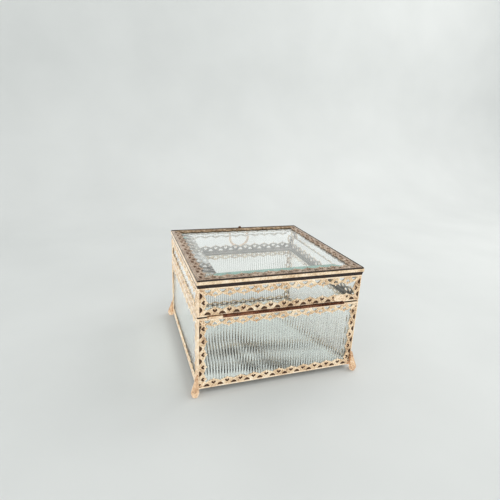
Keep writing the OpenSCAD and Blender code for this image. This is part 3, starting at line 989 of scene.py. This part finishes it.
# Darker stamped sheet: painted shade in the hollows between the ridges, with patina.
STAMPED_SHADED = brass("rose_brass_stamped_shaded", STAMP_SHADE_TONES, (0.16, 0.34), 0.45, 0.4)
RAIL = brass("rose_brass_rail", RAIL_TONES, (0.12, 0.28), 0.12, 0.2)
CAST = brass("rose_brass_cast", CAST_TONES, (0.16, 0.34), 0.5, 0.4)
PINK = brass("rose_brass_top", PINK_TONES, (0.2, 0.38), 0.4, 0.5)
# Darkest top brass, for the front strip and lip.
FRONT_DARK = brass("rose_brass_front_dark", FRONT_DARK_TONES, (0.25, 0.45), 0.5, 0.5)
SHADED_TUBE = brass("rose_brass_tube_shaded", SHADED_TUBE_TONES, (0.2, 0.4), 0.3, 0.5)
# Inside faces: brass painted dark as shade.
SHADED_INNER = brass("rose_brass_inner_shaded", INNER_SHADE_TONES, (0.3, 0.5), 0.3, 0.3)
# Lighter grey inside brass: painted light, a lit copy of the shaded inside brass.
LIT_INNER = brass("rose_brass_inner_lit", LIT_INNER_TONES, (0.3, 0.5), 0.3, 0.2)
CLEAR = glass("clear_glass", (0.985, 0.995, 0.99), (0.0, 0.02), 0.04)
FLUTED = glass("fluted_glass", (0.99, 1.0, 0.985), (0.0, 0.015), 0.04, 60)
# Edge faces of the top pane: green with a painted glow.
EDGE = ground_edge("glass_edge", ((0.07, 0.36, 0.27), (0.2, 0.56, 0.44)), 0.6, 0.2)
# Rear bevel: painted green reflection with a faint painted glow.
BEVEL = ground_edge("glass_bevel", ((0.03, 0.17, 0.12), (0.11, 0.34, 0.26)), 0.3, 0.6)
# Dark edge faces of the panes and mirror: painted shade of the channels round them.
PANE_EDGE_SHADE = painted_shade_fill("pane_edge_shade", ((0.03, 0.022, 0.016), (0.09, 0.062, 0.042)), 0.4)
# Dark sheet behind lace openings: painted shade.
SHADE_SHEET = painted_shade_fill("lace_shade_sheet", ((0.05, 0.026, 0.015), (0.15, 0.08, 0.045)), 0.25)
MIRROR = silvering()
BACKING = mirror_backing()
# Dark solder, also used as painted shade.
SOLDER_AND_SHADE = dark_solder_and_painted_shade()


# ---------------------------------------------------------------- stage, light and camera

def make_stage():
    """Pale floor that curves up into a plain backdrop."""
    reach = 2.2
    near_edge = -1.8
    start = 0.45
    bend = 0.35
    wall_top = 1.6
    line = [(near_edge, 0), (start, 0)]
    line += [(start + bend * math.sin(a), bend * (1 - math.cos(a))) for a in turns(12, 0, math.pi / 2)[1:]]
    line += [(start + bend, bend), (start + bend, wall_top)]
    verts = [(x, y, z) for y, z in line for x in (-reach, reach)]
    faces = [(2 * i, 2 * i + 1, 2 * i + 3, 2 * i + 2) for i in range(len(line) - 1)]
    mesh = bpy.data.meshes.new("floor")
    mesh.from_pydata(verts, [], faces)
    mesh.materials.append(stage_material())
    mesh.shade_smooth()
    floor = bpy.data.objects.new("floor", mesh)
    bpy.context.scene.collection.objects.link(floor)
    floor.visible_glossy = False


def aim(thing, target):
    thing.rotation_euler = (Vector(target) - thing.location).to_track_quat("-Z", "Y").to_euler()


def area_light(name, location, target, width, power, colour):
    data = bpy.data.lights.new(name, "AREA")
    data.shape = "RECTANGLE"
    data.size = width
    data.size_y = width * 0.7
    data.energy = power
    data.color = colour
    lamp = bpy.data.objects.new(name, data)
    lamp.location = location
    lamp.visible_glossy = False
    aim(lamp, target)
    bpy.context.scene.collection.objects.link(lamp)


def make_light():
    """Even pale room that is brighter overhead and low down, and one soft window to the right.

    A level is (height in the sky, brightness).
    """
    world = bpy.data.worlds.new("studio")
    bpy.context.scene.world = world
    world.use_nodes = True
    tree = world.node_tree
    place = tree.nodes.new("ShaderNodeTexCoord")
    split = tree.nodes.new("ShaderNodeSeparateXYZ")
    ramp = tree.nodes.new("ShaderNodeValToRGB")
    tree.links.new(place.outputs["Generated"], split.inputs[0])
    tree.links.new(split.outputs["Z"], ramp.inputs["Fac"])
    tree.links.new(ramp.outputs["Color"], tree.nodes["Background"].inputs["Color"])
    ramp.color_ramp.elements.new(0.3)
    ramp.color_ramp.elements.new(0.5)
    levels = ((0.12, 1.15), (0.26, 1.45), (0.5, 0.74), (0.85, 1.15))
    for element, (height, level) in zip(ramp.color_ramp.elements, levels):
        element.position = height
        element.color = (level * 0.98, level, level * 0.98, 1)
    tree.nodes["Background"].inputs["Strength"].default_value = 0.91
    area_light("window", (0.9, 0.1, 1.1), (0, 0, 0.05), 0.9, 6, (1, 0.98, 0.95))


def make_camera():
    """Camera above the rear-left corner, looking down at the box."""
    place = Vector((-0.1291, -0.3513, 0.2225))
    yaw = math.radians(19.16)
    pitch = math.radians(17.97)
    roll = math.radians(2.73)
    forward = Vector((math.sin(yaw) * math.cos(pitch), math.cos(yaw) * math.cos(pitch), -math.sin(pitch)))
    level = Vector((math.cos(yaw), -math.sin(yaw), 0))
    above = level.cross(forward)
    right = math.cos(roll) * level + math.sin(roll) * above
    up = math.cos(roll) * above - math.sin(roll) * level
    data = bpy.data.cameras.new("camera")
    data.sensor_width = 36
    data.lens = 28.09
    data.clip_start = 0.01
    data.clip_end = 20
    camera = bpy.data.objects.new("camera", data)
    turn = Matrix((right, up, -forward)).transposed().to_4x4()
    camera.matrix_world = Matrix.Translation(place) @ turn
    bpy.context.scene.collection.objects.link(camera)
    bpy.context.scene.camera = camera


def light_paths():
    """Enough bounces for light to run along inside the panes, and plain colours."""
    cycles = bpy.context.scene.cycles
    cycles.max_bounces = 32
    cycles.transmission_bounces = 28
    cycles.glossy_bounces = 24
    cycles.transparent_max_bounces = 32
    cycles.diffuse_bounces = 4
    bpy.context.scene.view_settings.view_transform = "Standard"


make_channels()
make_top_lace()
make_corners()
make_rails()
make_seam()
make_top_glass()
make_side_panes()
make_mirror()
make_hinge()
make_tag()
make_eye()
make_ring()
make_rail_bead()
make_stage()
make_light()
make_camera()
light_paths()
